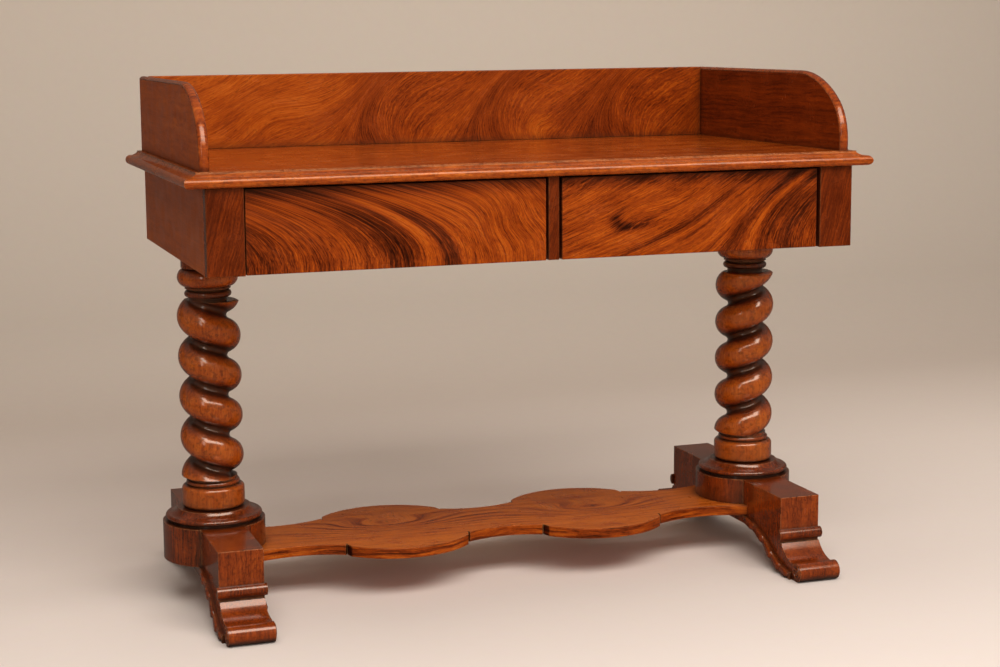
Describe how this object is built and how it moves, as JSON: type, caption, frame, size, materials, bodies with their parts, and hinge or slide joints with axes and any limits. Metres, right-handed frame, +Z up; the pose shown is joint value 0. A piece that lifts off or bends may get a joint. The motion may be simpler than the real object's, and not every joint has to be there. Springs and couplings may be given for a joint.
{
  "type": "washstand",
  "caption": "Galleried wooden washstand with frieze drawers on barley-twist columns, scrolled trestle feet and a shaped stretcher.",
  "frame": {"origin": "on the floor under the middle of the top", "axes": "+X along the length to the right, +Y to the back, +Z up"},
  "size_m": [1.22, 0.62, 0.912],
  "materials": {
    "mahogany": "French-polished red-brown mahogany",
    "flame_mahogany": "French-polished figured mahogany",
    "turned_mahogany": "French-polished turned mahogany",
    "drawer_lining": "plain waxed pine lining",
    "pine_framing": "unfinished pine",
    "steel_screws": "dull steel"
  },
  "bodies": {
    "carcase": {"centre_kicker": "pine_framing", "centre_muntin": "mahogany", "centre_runner": "pine_framing", "column_bearer_left": "pine_framing", "column_bearer_right": "pine_framing", "column_collar_left": "turned_mahogany", "column_collar_right": "turned_mahogany", "column_left": "turned_mahogany", "column_right": "turned_mahogany", "corner_block_left": "pine_framing", "corner_block_right": "pine_framing", "corner_stile_left": "mahogany", "corner_stile_right": "mahogany", "drawer_guide_centre": "pine_framing", "drawer_guide_left": "pine_framing", "drawer_guide_right": "pine_framing", "drawer_stops_left": "pine_framing", "drawer_stops_right": "pine_framing", "drum_cheek_inner_left": "turned_mahogany", "drum_cheek_inner_right": "turned_mahogany", "drum_cheek_outer_left": "turned_mahogany", "drum_cheek_outer_right": "turned_mahogany", "foot_bar_left": "turned_mahogany", "foot_bar_right": "turned_mahogany", "foot_beads_left": "turned_mahogany", "foot_beads_right": "turned_mahogany", "foot_strap_left": "turned_mahogany", "foot_strap_right": "turned_mahogany", "frieze_back": "mahogany", "frieze_end_left": "mahogany", "frieze_end_right": "mahogany", "gallery_back": "flame_mahogany", "gallery_bead_left": "mahogany", "gallery_bead_right": "mahogany", "gallery_end_left": "mahogany", "gallery_end_right": "mahogany", "gallery_screws": "steel_screws", "kicker_left": "pine_framing", "kicker_right": "pine_framing", "lower_front_rail": "pine_framing", "lower_rear_rail": "pine_framing", "stretcher": "mahogany", "top_board": "mahogany", "top_fixing_screws": "steel_screws", "upper_front_rail": "pine_framing", "upper_rear_rail": "pine_framing"},
    "left_drawer": {"drawer_back_left": "drawer_lining", "drawer_bottom_left": "drawer_lining", "drawer_front_left": "flame_mahogany", "drawer_inner_side_left": "drawer_lining", "drawer_outer_side_left": "drawer_lining", "drawer_slips_left": "drawer_lining"},
    "right_drawer": {"drawer_back_right": "drawer_lining", "drawer_bottom_right": "drawer_lining", "drawer_front_right": "flame_mahogany", "drawer_inner_side_right": "drawer_lining", "drawer_outer_side_right": "drawer_lining", "drawer_slips_right": "drawer_lining"}
  },
  "joints": [
    {"name": "left_drawer_slide", "type": "slide", "parent": "carcase", "child": "left_drawer", "axis": [0, -1, 0], "range_m": [0, 0.38]},
    {"name": "right_drawer_slide", "type": "slide", "parent": "carcase", "child": "right_drawer", "axis": [0, -1, 0], "range_m": [0, 0.38]}
  ]
}
